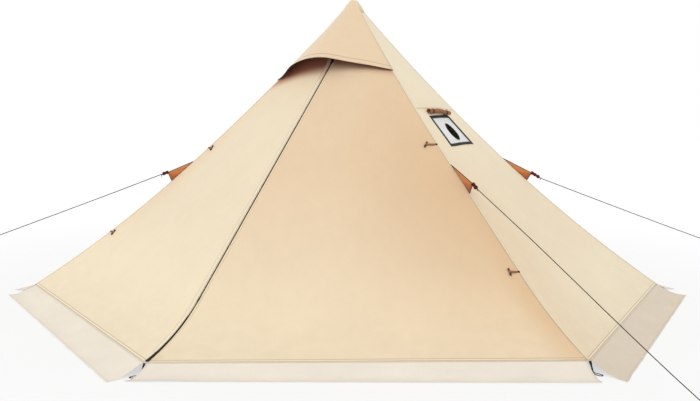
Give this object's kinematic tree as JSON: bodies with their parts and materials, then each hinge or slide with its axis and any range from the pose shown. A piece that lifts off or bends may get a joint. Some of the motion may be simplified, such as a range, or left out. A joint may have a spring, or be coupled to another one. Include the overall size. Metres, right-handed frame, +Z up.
{
  "type": "pyramid tent",
  "caption": "Six-sided pyramid tent with a centre pole, two zipped door leaves, a hooded vent, a stove jack, mud skirts, guy tabs and lines.",
  "frame": {"origin": "on the ground under the peak, at the bottom of the pole's foot", "axes": "+Z up; -Y out of the front door wall; +X to the right for someone facing the door, towards the ridge beside the stove jack"},
  "size_m": [5.4108, 4.8952, 2.12],
  "materials": {
    "canvas": "matte woven cotton blend, cream",
    "skirt_cloth": "coated cloth, pale cream",
    "webbing": "black webbing",
    "zip": "dark brown zip",
    "net": "dark fly net",
    "glass_cloth": "white heat-proof glass cloth",
    "tab_cloth": "orange-brown cloth",
    "rope": "braided cord, dark olive",
    "black_plastic": "moulded, black",
    "aluminium": "drawn tube",
    "steel": "pin",
    "rubber": "black rubber"
  },
  "bodies": {
    "tent": {"wall_back_right": "canvas", "wall_back": "canvas", "wall_back_left": "canvas", "wall_right": "canvas", "wall_front_top": "canvas", "wall_left_top": "canvas", "ridge_tape_front_left": "canvas", "vent_mesh": "net", "peak_cap": "canvas", "vent_hood": "canvas", "vent_prop_pad": "webbing", "skirt_back_right": "skirt_cloth", "skirt_back": "skirt_cloth", "skirt_back_left": "skirt_cloth", "skirt_right": "skirt_cloth", "skirt_front_hinge_end": "skirt_cloth", "skirt_left_hinge_end": "skirt_cloth", "corner_loop_right": "webbing", "corner_loop_back_right": "webbing", "corner_loop_back_left": "webbing", "corner_loop_left": "webbing", "corner_loop_front_left": "webbing", "corner_loop_front_right": "webbing", "jack_sheet": "glass_cloth", "jack_binding": "webbing", "jack_flap_roll": "tab_cloth", "guy_tab_right": "tab_cloth", "guy_tab_back_right": "tab_cloth", "guy_tab_back_left": "tab_cloth", "guy_tab_left": "tab_cloth", "guy_tab_front_right": "tab_cloth", "guy_line_left": "rope", "guy_line_right": "rope", "guy_line_front_right": "rope", "guy_end_loop_left": "rope", "guy_end_loop_right": "rope", "guy_end_loop_front_right": "rope", "pole_upper_tube": "aluminium", "pole_tip": "rubber", "pole_cup": "webbing", "pole_clamp": "black_plastic", "lever_pin": "steel"},
    "front_leaf": {"door_leaf_front": "canvas", "zip_tape_front": "zip", "skirt_front": "skirt_cloth", "toggle_front_upper": "black_plastic", "toggle_front_lower": "black_plastic"},
    "left_leaf": {"door_leaf_left": "canvas", "zip_tape_left": "zip", "storm_flap": "canvas", "skirt_left": "skirt_cloth", "toggle_left_upper": "black_plastic", "toggle_left_lower": "black_plastic"},
    "zip_slider": {"zip_slider": "zip"},
    "zip_pull": {"zip_pull": "zip"},
    "vent_prop": {"vent_prop": "webbing"},
    "pole_lower": {"pole_lower_tube": "aluminium", "pole_foot": "rubber"},
    "clamp_lever": {"clamp_lever": "black_plastic"}
  },
  "joints": [
    {"name": "front_leaf_hinge", "type": "hinge", "parent": "tent", "child": "front_leaf", "pos_m": [1.15, -1.99186, 0.06], "axis": [-0.3816, 0.661, 0.6461], "range_deg": [0, 90]},
    {"name": "left_leaf_hinge", "type": "hinge", "parent": "tent", "child": "left_leaf", "pos_m": [-2.3, 0, 0.06], "axis": [-0.7676, 0, -0.6409], "range_deg": [0, 90]},
    {"name": "zip_slide", "type": "slide", "parent": "front_leaf", "child": "zip_slider", "axis": [0.3725, 0.6451, 0.6672], "range_m": [0, 1.6]},
    {"name": "zip_pull_hinge", "type": "hinge", "parent": "zip_slider", "child": "zip_pull", "pos_m": [-0.91261, -1.58518, 0.31999], "axis": [-0.866, 0.5, 0], "range_deg": [0, 140]},
    {"name": "vent_prop_hinge", "type": "hinge", "parent": "tent", "child": "vent_prop", "pos_m": [-0.15703, -0.27198, 1.67927], "axis": [0.866, -0.5, 0], "range_deg": [0, 85]},
    {"name": "pole_slide", "type": "slide", "parent": "tent", "child": "pole_lower", "axis": [0, 0, 1], "range_m": [0, 0.8]},
    {"name": "clamp_lever_hinge", "type": "hinge", "parent": "tent", "child": "clamp_lever", "pos_m": [0, -0.0286, 1.032], "axis": [-1, 0, 0], "range_deg": [0, 115]}
  ]
}
